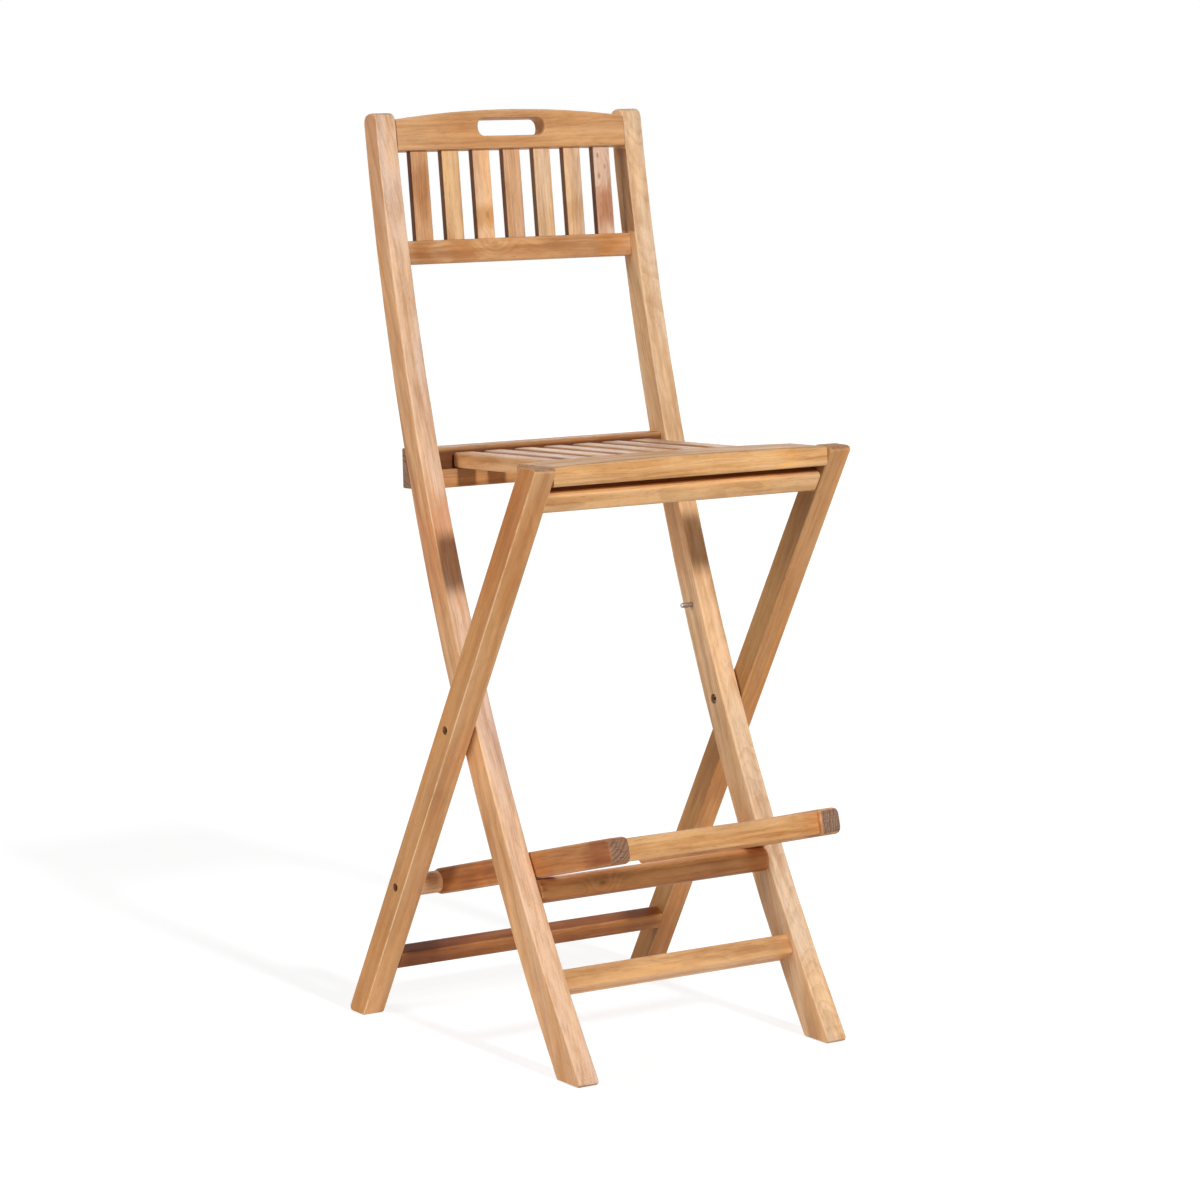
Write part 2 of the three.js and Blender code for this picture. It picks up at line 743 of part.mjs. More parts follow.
function legFrame() {
  const group = new THREE.Group();
  group.name = "leg_frame";
  group.position.z = pivotHeight;
  group.rotation.x = legLean;
  const leg = legPiece();
  group.add(piece("leg_left", mirrored(leg), 0));
  group.add(piece("leg_right", leg, 2));
  const upper = squareRail(upperRailDepth, upperRailHeight, legInner);
  group.add(placed(piece("upper_leg_rail", upper, 4), upperRailPlace));
  const rear = squareRail(rearStretcherDepth, rearStretcherHeight, legInner);
  group.add(placed(piece("rear_stretcher", rear, 3), rearStretcherPlace));
  addPair(group, "main_pivot_bolt", bolt(pivotBoltFace, pivotBoltEnd, ...boltHead));
  addPair(group, "main_pivot_nut", barrelNut());
  addPair(group, "main_pivot_washer", washer());
  const seatPin = plainPin(seatPinDiameter, seatPinInner, seatPinOuter).translate(0, 0, seatHingeAbovePivot);
  addPair(group, "seat_hinge_pin", seatPin);
  const footBolt = bolt(pivotBoltFace, footBoltEnd, ...boltHead).translate(0, 0, -footrestBelowPivot);
  addPair(group, "footrest_hinge_bolt", footBolt);
  return group;
}

// Side view of a seat slat: a tenon in the front rail, a rounded rear end
function seatSlatGeometry(x, grow = 0) {
  const from = seatRailDepth - seatRailFront - seatSlatTenon;
  const shoulder = seatRailDepth - seatRailFront + fitGap;
  const half = seatSlatWidth / 2;
  const middle = (slatTop + slatBottom) / 2;
  const tongue = seatSlatThickness * tenonDepthShare;
  const board = acrossWidth(
    roundedOutline([
      [shoulder, slatBottom],
      [seatSlatReach, slatBottom, seatSlatEndRounding],
      [seatSlatReach, slatTop, seatSlatEndRounding],
      [shoulder, slatTop],
    ]),
    x - half,
    x + half,
    seatSlatArris,
  );
  const width = seatSlatWidth * tenonHeightShare + 2 * grow;
  const length = 2 * seatSlatTenon + grow;
  const tenon = block(width, length, tongue + 2 * grow, x, from + length / 2 - grow, middle);
  return { board, tenon };
}

// Front rail of the seat: a wide board with a crowned top, turning on the hidden pins at its ends
function seatFrontRail() {
  const end = legInner - fitGap;
  const half = end + overrun;
  const low = -seatRailThickness / 2;
  const shape = new THREE.Shape();
  shape.moveTo(-half, low);
  shape.lineTo(half, low);
  shape.lineTo(half, -low);
  shape.quadraticCurveTo(0, -low + 2 * seatRailCrown, -half, -low);
  const front = -seatRailFront;
  const board = overDepth(shape, front, front + seatRailDepth, seatRailArris);
  const trim = block(2 * end, 4 * seatRailDepth, 4 * seatRailThickness, 0, 0, 0);
  const bore = geometryOf(seatPinHole(legInner + overrun));
  const mortises = Array.from({ length: seatSlatCount }, (_, i) =>
    solidOf(seatSlatGeometry(slatX(i, seatSlatCount, seatSlatPitch), fitGap).tenon),
  );
  const rail = solidOf(board).intersect(solidOf(trim));
  return geometryOf(withCuts(rail, [solidOf(bore), solidOf(mirrored(bore)), ...mortises]));
}

function seat() {
  const group = new THREE.Group();
  group.name = "seat";
  group.position.z = seatHingeAbovePivot;
  group.rotation.x = -seatTilt - legLean;
  group.add(piece("seat_front_rail", seatFrontRail(), 2));
  for (let i = 0; i < seatSlatCount; i++) {
    const { board, tenon } = seatSlatGeometry(slatX(i, seatSlatCount, seatSlatPitch));
    group.add(piece(`seat_slat_${i + 1}`, geometryOf(solidOf(board).add(solidOf(tenon))), i + 1));
  }
  return group;
}

// The arms slope up from their hinge so that they rest on the support rail.
const footHingeDepth = footrestBelowPivot * Math.sin(legLean);
const footHingeHeight = pivotHeight - footrestBelowPivot * Math.cos(legLean);
const supportAhead = footHingeDepth - supportRailPlace.y;
const supportAbove = supportRailPlace.z - footHingeHeight;
const restDistance = (armHeight + supportRailDiameter) / 2 + fitGap;
const footrestRise =
  Math.atan2(supportAbove, supportAhead) + Math.asin(restDistance / Math.hypot(supportAhead, supportAbove));

const footBarPlace = { y: footBarSetback + footBarDepth / 2 - armReach, z: 0, turn: 0 };

// Side view of a footrest arm, the hinge at the origin and the front end towards -y
function armGeometry() {
  const z = armHeight / 2;
  const outline = roundedOutline([
    [-armReach, -z, armEndRounding],
    [armTail, -z, armTailRounding],
    [armTail, z, armTailRounding],
    [-armReach, z, armEndRounding],
  ]);
  const arm = solidOf(acrossWidth(outline, armInner, armOuter, armArris));
  const bore = cylinderAcross(boltDiameter + 2 * fitGap, footBoltEnd - fitGap, armOuter + overrun);
  const socket = mortise(footBarDepth, footBarHeight, armInner, footBarPlace);
  return geometryOf(arm.subtract(solidOf(bore)).subtract(socket));
}

function spacer() {
  const from = armOuter + fitGap;
  const to = legInner - fitGap;
  const bore = boltDiameter / 2 + fitGap;
  return turned([
    [from, bore],
    [from, spacerDiameter / 2],
    [to, spacerDiameter / 2],
    [to, bore],
    [from, bore],
  ]);
}

function footrest() {
  const group = new THREE.Group();
  group.name = "footrest";
  group.position.z = -footrestBelowPivot;
  group.rotation.x = -footrestRise - legLean;
  const arm = armGeometry();
  group.add(piece("footrest_arm_left", mirrored(arm), 3));
  group.add(piece("footrest_arm_right", arm, 0));
  const bar = squareRail(footBarDepth, footBarHeight, armInner);
  group.add(placed(piece("footrest_bar", bar, 4), footBarPlace));
  group.add(piece("footrest_spacer_left", mirrored(spacer()), 4));
  group.add(piece("footrest_spacer_right", spacer(), 4));
  return group;
}

const chair = new THREE.Group();
chair.name = "folding_bar_chair";
const legs = legFrame();
legs.add(seat(), footrest());
chair.add(backFrame(), legs);

// The origin lies on the floor under the middle of the chair.
chair.updateMatrixWorld(true);
const extent = new THREE.Box3().setFromObject(chair, true);
chair.position.y = -(extent.min.y + extent.max.y) / 2;

export default chair;
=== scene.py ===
import cmath
import math
from collections import namedtuple

import bpy
import numpy as np
from mathutils import Euler, Matrix, Vector

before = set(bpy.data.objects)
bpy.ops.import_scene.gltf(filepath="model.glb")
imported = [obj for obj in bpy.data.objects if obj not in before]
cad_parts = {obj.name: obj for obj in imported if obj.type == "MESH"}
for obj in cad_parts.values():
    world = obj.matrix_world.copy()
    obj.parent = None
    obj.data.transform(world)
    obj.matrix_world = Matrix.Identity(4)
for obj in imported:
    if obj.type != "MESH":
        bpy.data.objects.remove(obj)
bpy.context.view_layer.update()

# Tones of the wood, as a board looks on average, written as they look on screen
GOLD = (230, 182, 128)
STRAW = (236, 187, 140)
SAND = (233, 196, 156)
ROSE = (229, 192, 162)
TAN = (216, 170, 129)
HONEY = (216, 166, 117)
AMBER = (219, 167, 110)
APRICOT = (232, 166, 104)
OCHRE = (210, 153, 97)
RUSSET = (190, 127, 74)
BARK = (192, 140, 90)

# Tones that all the wood shares, and those of the steel
# The arris tone is dry grain with a painted highlight
DRY_AND_HIGHLIGHTED_ARRIS = (246, 212, 170)
END_LIGHT = (168, 134, 110)
END_DARK = (88, 60, 44)
END_CHECK = (38, 24, 16)
KNOT_TONE = (70, 34, 18)
TURNED_STEEL, TURNED_STAIN = (188, 184, 182), (112, 84, 64)
OILED_STEEL, OILED_STAIN = (158, 124, 92), (60, 38, 24)

# Colours that multiply a tone, or that shaders take as they are
LIGHT_BAND = (1.18, 1.21, 1.27)
DARK_BAND = (0.74, 0.6, 0.48)
STREAK = (0.48, 0.31, 0.21)
YELLOW_HUE = (1.04, 0.98, 0.86, 1.0)
PINK_HUE = (0.97, 1.01, 1.1, 1.0)
PORE_TONE = (0.03, 0.014, 0.006, 1.0)
WHITE = (1.0, 1.0, 1.0, 1.0)

# Finish of a wooden piece. figure is the strength of its dark streaks. A stain or a painted shadow
# lies across the piece: its middle and half its length are shares of the piece's length, and its
# factors multiply the colour. A knot has a share of the length, metres across and through from the
# middle, a size in metres and the darkness of its core.
Wood = namedtuple("Wood", "tone figure end_darkness stains knots", defaults=[(), ()])
Stain = namedtuple("Stain", "share half factors")
Knot = namedtuple("Knot", "share across through size darkness")

SEAT_SLAT_TONES = [HONEY, ROSE, SAND, ROSE, SAND, ROSE, SAND]
# A piece's place in this table also picks its part of the tree, so the order matters.
PIECES = {
    # The stains at 0.56 on both back posts are a painted shadow of the seat.
    "back_post_left": Wood(ROSE, 0.5, 0.55, [Stain(0.56, 0.08, (0.9, 0.72, 0.58))]),
    "back_post_right": Wood(SAND, 0.4, 0.5, [Stain(0.56, 0.08, (0.94, 0.84, 0.74))]),
    "crest_rail": Wood(HONEY, 0.45, 0.4, [Stain(0.3, 0.2, (0.96, 0.92, 0.86))]),
    "lower_back_rail": Wood(
        HONEY, 0.7, 0.4,
        [Stain(0.12, 0.06, (0.84, 0.7, 0.54)), Stain(0.27, 0.08, (0.84, 0.7, 0.54)),
         Stain(0.87, 0.08, (1.12, 1.0, 0.76))],
        [Knot(0.4, -0.011, 0.007, 0.006, 0.25)],
    ),
    "back_slat_1": Wood(TAN, 0.4, 0.4, [Stain(0.6, 0.25, (0.86, 0.78, 0.7))]),
    "back_slat_2": Wood(GOLD, 0.25, 0.4),
    "back_slat_3": Wood(
        STRAW, 0.4, 0.4,
        [Stain(0.28, 0.16, (0.8, 0.68, 0.5))],
        [Knot(0.3, 0.003, -0.004, 0.0042, 0.3)],
    ),
    "back_slat_4": Wood(TAN, 0.45, 0.4),
    "back_slat_5": Wood(SAND, 0.35, 0.4, [Stain(0.2, 0.2, (0.92, 0.86, 0.76))]),
    "back_slat_6": Wood(SAND, 0.3, 0.4, [Stain(0.3, 0.15, (0.92, 0.86, 0.8))]),
    "back_slat_7": Wood(
        ROSE, 0.85, 0.4,
        [Stain(0.34, 0.26, (0.76, 0.56, 0.48))],
        [Knot(0.84, -0.006, -0.004, 0.0032, 0.5), Knot(0.73, 0.004, -0.004, 0.003, 0.4),
         Knot(0.64, -0.006, -0.004, 0.0034, 0.45)],
    ),
    "footrest_support_rail": Wood(
        APRICOT, 0.65, 0.5,
        # The stain at the left end, share 0.0, is painted shade.
        [Stain(0.0, 0.07, (0.5, 0.36, 0.28)), Stain(0.95, 0.14, (0.84, 0.7, 0.56))],
        [Knot(0.28, -0.012, -0.004, 0.005, 0.8)],
    ),
    "front_stretcher": Wood(AMBER, 0.3, 0.4, [Stain(0.93, 0.08, (0.9, 0.84, 0.76))]),
    "seat_rear_crossbar": Wood(
        BARK, 0.6, 1.0,
        knots=[Knot(0.01, 0.008, 0.012, 0.004, 0.8), Knot(0.01, -0.006, -0.008, 0.003, 0.8)],
    ),
    "leg_left": Wood(HONEY, 0.3, 0.6, [Stain(0.86, 0.16, (0.94, 0.84, 0.72))]),
    "leg_right": Wood(
        OCHRE, 0.3, 0.6,
        # The stain at 0.4 is a painted shadow of the back post where it crosses the leg.
        [Stain(0.04, 0.18, (0.66, 0.56, 0.48)), Stain(0.4, 0.09, (0.8, 0.72, 0.64))],
    ),
    "upper_leg_rail": Wood(GOLD, 0.3, 0.4),
    "rear_stretcher": Wood(RUSSET, 0.8, 0.5, [Stain(0.05, 0.3, (0.66, 0.54, 0.46))]),
    "seat_front_rail": Wood(GOLD, 0.5, 0.6, [Stain(0.86, 0.05, (1.06, 1.0, 0.86))]),
    "footrest_arm_left": Wood(
        RUSSET, 0.9, 0.85,
        [Stain(0.05, 0.12, (0.66, 0.52, 0.44)), Stain(0.72, 0.05, (1.2, 1.14, 1.02))],
    ),
    "footrest_arm_right": Wood(OCHRE, 0.7, 1.0),
    "footrest_bar": Wood(AMBER, 0.45, 0.5, [Stain(0.95, 0.1, (0.9, 0.78, 0.66))]),
    "footrest_spacer_left": Wood(STRAW, 0.2, 0.3),
    "footrest_spacer_right": Wood(STRAW, 0.2, 0.3),
    **{f"seat_slat_{i}": Wood(tone, 0.3, 0.5) for i, tone in enumerate(SEAT_SLAT_TONES, start=1)},
}

# The tables below go by the start of a piece's name, and the first key that fits counts.
# Painted light and shade on faces, by the way they face: which faces, heights (lowest, highest,
# how far it takes to fade), and the colour that multiplies, below 1 for painted shade and above 1
# for painted light. SIDE is both faces across the chair, and INNER the one that faces left.
PaintedFaceShading = namedtuple("PaintedFaceShading", "which heights factors")
SIDE, INNER, TOP, UNDER = "side", "inner", "top", "under"
ALL = (-1.0, 9.0, 0.001)
PAINTED_FACE_LIGHT_AND_SHADE = {
    "back_post_left": [
        PaintedFaceShading(SIDE, ALL, (0.92, 0.78, 0.58)),
        PaintedFaceShading(SIDE, (0.9, 9.0, 0.24), (0.86, 0.74, 0.64)),
    ],
    "back_post_right": [
        PaintedFaceShading(SIDE, ALL, (1.04, 0.98, 0.86)),
        # Painted shade on the inner face beside the back slats
        PaintedFaceShading(INNER, (0.991, 1.098, 0.001), (0.62, 0.52, 0.44)),
    ],
    # Painted shade on the slats' sides
    "back_slat": [PaintedFaceShading(SIDE, ALL, (0.36, 0.26, 0.2))],
    # Painted light on the left-facing wall of the hand slot
    "crest_rail": [PaintedFaceShading(INNER, ALL, (1.35, 1.35, 1.35))],
    "footrest_support_rail": [PaintedFaceShading(UNDER, ALL, (0.62, 0.6, 0.6))],
    "front_stretcher": [PaintedFaceShading(UNDER, ALL, (1.35, 1.4, 1.5))],
    "leg_left": [
        PaintedFaceShading(SIDE, ALL, (0.9, 0.79, 0.6)),
        PaintedFaceShading(SIDE, (0.5, 9.0, 0.22), (0.86, 0.76, 0.66)),
    ],
    "leg_right": [PaintedFaceShading(SIDE, ALL, (0.68, 0.72, 0.66))],
    "seat_front_rail": [PaintedFaceShading(TOP, ALL, (0.74, 0.7, 0.64))],
    # Painted shade on the rail's top, under the seat's front rail
    "upper_leg_rail": [PaintedFaceShading(TOP, (0.7115, 9.0, 0.001), (0.3, 0.2, 0.14))],
    "rear_stretcher": [PaintedFaceShading(TOP, ALL, (0.53, 0.43, 0.37))],
    "seat_slat_1": [PaintedFaceShading(SIDE, ALL, (1.0, 0.95, 0.85)), PaintedFaceShading(TOP, ALL, (0.76, 0.76, 0.82))],
    "seat_slat": [PaintedFaceShading(SIDE, ALL, (0.58, 0.46, 0.37)), PaintedFaceShading(TOP, ALL, (0.76, 0.76, 0.82))],
}
# How much the arrises are worn to dry grain and carry a painted highlight
ARRIS_WEAR_AND_HIGHLIGHT = {
    "leg_left": 1.0,
    "leg_right": 0.3,
    "back_post": 0.7,
    "crest_rail": 0.45,
    "seat_front_rail": 0.5,
    "rear_stretcher": 0.12,
}
USUAL_ARRIS_WEAR_AND_HIGHLIGHT = 0.3
# How strong the light and dark bands are
CONTRAST = {"leg": 0.62, "back_post": 0.85, "crest_rail": 0.75}
USUAL_CONTRAST = 1.0
# Specular level
GLOSS = {"seat_front_rail": 0.08}
USUAL_GLOSS = 0.28
# Round pieces, which have no arrises to wear
ROUND = ("footrest_support_rail", "footrest_spacer")
# Pieces whose grain lies in the side view; in all the others it runs across the chair
GRAIN_IN_SIDE_VIEW = (
    "back_post", "leg_left", "leg_right", "back_slat", "seat_slat", "footrest_arm",
)

# The crossbar's rebate has painted shade: it lies in front of this depth and between these
# heights, and its edges fade over the lengths below.
REBATE_FRONT = 0.1373
REBATE_LOW, REBATE_HIGH = 0.7092, 0.7334
REBATE_FADE_FRONT, REBATE_FADE_LOW, REBATE_FADE_HIGH = 0.0005, 0.0004, 0.004
PAINTED_REBATE_SHADE = (0.36, 0.25, 0.18)

# Growth rings
RING = 0.0041  # width of a ring
PITH = 0.07  # from the middle of a piece to the heart of the tree
RING_WAVER = 0.022  # how far the rings wander along the trunk
RING_RIPPLE = 0.0022  # the same, for their small waves
TRUNK_TAPER = 0.012  # growth of the radius along the trunk
RING_UNEVENNESS = 2.6  # how many rings' widths the spacing varies by
FAINTEST_RING = 0.1
STRAY_PORES = 0.3  # share of the pores that lies outside the ring's early wood
# Shares of a ring over which its late wood darkens and ends, and its pores open and close
LATE_WOOD = ((0.35, 0.93), (0.94, 1.0))
PORE_BAND = ((0.0, 0.07), (0.08, 0.34))
GOLDEN_ANGLE = 2.399963  # turns each piece about the heart so that no two look alike
SHIFT_PER_PIECE = (0.37, 0.91, 0.53)

# Noises: cells per metre along, across and through the grain, layers of detail, how rough those
# are, and a step aside that keeps two noises from lining up
Noise = namedtuple("Noise", "scale detail roughness offset", defaults=[0.5, None])
WAVER = Noise((5.5, 16, 16), 2.0)
RIPPLE = Noise((22, 60, 60), 1.0)
UNEVEN = Noise((0.42, 0, 0), 2.0)  # this one in cells per ring
STREAKS = Noise((3.2, 105, 105), 3.0, 0.6)
FIBRES = Noise((26, 1150, 1150), 3.0, 0.65)
BLOTCHES = Noise((4.5, 19, 19), 3.0, 0.6)
CLOUDS = Noise((9, 34, 34), 4.0, 0.62, (3.1, 7.7, 1.9))
MOTTLE = Noise((42, 150, 150), 3.0, 0.7)
PORES = Noise((75, 1500, 1500), 1.0)
DRIFT = Noise((2.6, 30, 30), 3.0, 0.6, (6.4, 2.3, 8.8))
SCUFFS = Noise((60, 260, 260), 3.0, 0.6)
SPECKS = Noise((300, 900, 900), 2.0)
CHECKS = Noise((20, 60, 420), 3.0, 0.7)
RAGGED = Noise((14, 90, 90), 3.0, 0.6)
TURNING_MARKS = Noise((5200, 260, 260), 2.0)
TARNISH = Noise((190, 190, 190), 3.0)

# Where each of these starts and ends to show, and what it gives there if that isn't 0 and 1
SHOWS = {
    "streaks": (0.32, 0.7),
    "pores": (0.6, 0.7),
    "drift": (0.36, 0.64),
    "blotches": (0.5, 0.74),
    "streaked blotches": (0.3, 0.62, 0.45, 1.0),
    "scuffs": (0.3, 0.6, 0.25, 1.0),
    "specks": (0.35, 0.7, 0.0, 0.5),
    "checks": (0.58, 0.66, 0.0, 0.7),
    "tarnish": (0.48, 0.72),
    "end faces": (0.55, 0.8),
    "arrises": (0.83, 0.975),
    "arrises at the ends": (0.15, 0.45, 1.0, 0.3),
    "facing": (0.5, 0.8),
}
# What each part adds to the dark bands, to the roughness and to the relief
BAND = {"rings": 0.46, "streaks": 0.62, "fibres": 0.5, "clouds": 1.8, "mottle": 0.7}
ROUGHNESS = {"base": 0.36, "fibres": 0.16, "clouds": 0.2, "wear_and_highlight": 0.15, "ends": 0.25}
RELIEF = {"fibres": 0.35, "late wood": 0.35, "pores": -0.8, "checks": -2.0}
STEEL_ROUGHNESS = {"base": 0.2, "marks": 0.14, "tarnish": 0.18}
# How strongly these colours cover what is under them
PORE_COVER = 0.42
PORE_DEPTH = 0.55
ARRIS_WEAR_AND_HIGHLIGHT_COVER = 0.75
END_RING_COVER = 0.5
TARNISH_COVER = 0.6

# Knots, in sizes of the knot
KNOT_STRETCH = (0.55, 1, 1)  # longer along the grain
KNOT_REACH = 4  # how far out the rings still bend
KNOT_BEND = 2.2  # how far they bend at the knot
KNOT_CORE = 0.25
STAIN_AND_SHADOW_CORE = 0.3  # share of a stain or painted shadow that has its full strength
STAIN_AND_SHADOW_RAGGEDNESS = 0.16

ARRIS = 0.0008  # softness of corners that the CAD leaves sharp
ARRIS_SAMPLES = 4
WOOD_BUMP, WOOD_BUMP_HEIGHT = 0.35, 0.0004
STEEL_BUMP, STEEL_BUMP_HEIGHT = 0.3, 0.0001
LONG_FACE = 0.1  # how far a rail's long faces may lean towards its ends
SMOOTH_ANGLE = math.radians(50)
WELD = 0.00001
FLAT_FACE_WEIGHT = 90

FLOOR_RADIUS, FLOOR_SIDES = 14.0, 96
FLOOR_GAP = 0.0005  # the floor lies this far below the feet
FLOOR_BOUNCE = (0.78, 0.78, 0.78, 1.0)
FLOOR_SHADOW = (0.42, 0.42, 0.42, 1.0)  # the lit part that a shadow takes away
FLOOR_GLOW = 0.78
SKY_LIGHT = 0.14

# Lights: the direction each comes from, its strength and its spread in degrees
LIGHTS = {
    "key": ((0.0, -1.0, 0.56), 0.65, 6),
    "fill": ((-1.0, 0.05, 0.3), 0.46, 20),
    "back": ((0.9, 0.9, 0.5), 0.26, 50),
}

# The photograph's camera
SENSOR_MM = 36
FOCAL_LENGTH_MM = 121.36
CAMERA_PLACE = (-2.8115, -4.1405, 1.2925)
CAMERA_DOWNWARD = 8.477  # degrees
CAMERA_HEADING = -34.03  # degrees


def srgb(red, green, blue):
    """A colour written as it looks on screen, turned into the values that shaders use."""
    screen = (red / 255, green / 255, blue / 255)
    linear = [c / 12.92 if c <= 0.04045 else ((c + 0.055) / 1.055) ** 2.4 for c in screen]
    return (*linear, 1.0)


def shaded(tone, factors, strength=1.0):
    """A tone times a colour, whose distance from white can be made weaker or stronger."""
    factors = [1 + strength * (factor - 1) for factor in factors]
    return (*(min(c * f, 1.0) for c, f in zip(srgb(*tone), factors)), 1.0)


def entry(table, name, usual):
    """The value of the first key that a piece's name starts with."""
    return next((value for start, value in table.items() if name.startswith(start)), usual)


class Graph:
    """Short calls that add nodes to a node tree and return their outputs."""

    def __init__(self, tree):
        self.tree = tree

    def put(self, socket, value):
        """Links an output to a socket, or sets a plain value on it."""
        if isinstance(value, bpy.types.NodeSocket):
            self.tree.links.new(value, socket)
        else:
            socket.default_value = value

    def add(self, kind, values, **settings):
        node = self.tree.nodes.new(kind)
        for name, value in settings.items():
            setattr(node, name, value)
        for name, value in values.items():
            self.put(node.inputs[name], value)
        return node

    def math(self, operation, a, b=0.0, clamp=False):
        settings = {"operation": operation, "use_clamp": clamp}
        return self.add("ShaderNodeMath", {0: a, 1: b}, **settings).outputs[0]

    def total(self, first, *others):
        for other in others:
            first = self.math("ADD", first, other)
        return first

    def product(self, first, *others):
        for other in others:
            first = self.math("MULTIPLY", first, other)
        return first

    def clamped(self, value):
        return self.math("ADD", value, 0.0, clamp=True)

    def swing(self, noise, size):
        """A noise turned into a value that swings about 0."""
        return self.product(self.math("SUBTRACT", noise, 0.5), size)

    def lifted(self, value, least):
        """A value from 0 to 1, squeezed so that it starts at the least one."""
        return self.total(self.product(value, 1 - least), least)

    def vector(self, operation, a, b=(0, 0, 0)):
        return self.add("ShaderNodeVectorMath", {0: a, 1: b}, operation=operation)

    def dot(self, a, b):
        return self.vector("DOT_PRODUCT", a, b).outputs["Value"]

    def scaled(self, vector, scale):
        return self.vector("MULTIPLY", vector, scale).outputs[0]

    def noise(self, place, kind, shift=None):
        if kind.offset:
            shift = self.vector("ADD", shift, kind.offset).outputs[0]
        if shift is not None:
            place = self.vector("ADD", place, shift).outputs[0]
        values = {
            "Vector": self.scaled(place, kind.scale),
            "Scale": 1.0,
            "Detail": kind.detail,
            "Roughness": kind.roughness,
        }
        return self.add("ShaderNodeTexNoise", values).outputs["Fac"]

    def step(self, value, low, high, to_low=0.0, to_high=1.0):
        """A smooth change from to_low to to_high while the value goes from low to high."""
        values = {
            "Value": value,
            "From Min": low,
            "From Max": high,
            "To Min": to_low,
            "To Max": to_high,
        }
        return self.add("ShaderNodeMapRange", values, interpolation_type="SMOOTHSTEP").outputs[0]

    def between(self, value, rise, fall):
        """1 from the end of the rise to the start of the fall, and 0 outside both."""
        return self.product(self.step(value, *rise), self.step(value, *fall, 1.0, 0.0))

    def blend(self, share, a, b, how="MIX"):
        settings = {"data_type": "RGBA", "blend_type": how, "clamp_factor": True}
        node = self.add("ShaderNodeMix", {0: share}, **settings)
        # Its inputs 6 and 7 and its output 2 are the ones for colours.
        self.put(node.inputs[6], a)
        self.put(node.inputs[7], b)
        return node.outputs[2]

    def tinted(self, colour, tint):
        return self.blend(1.0, colour, tint, "MULTIPLY")


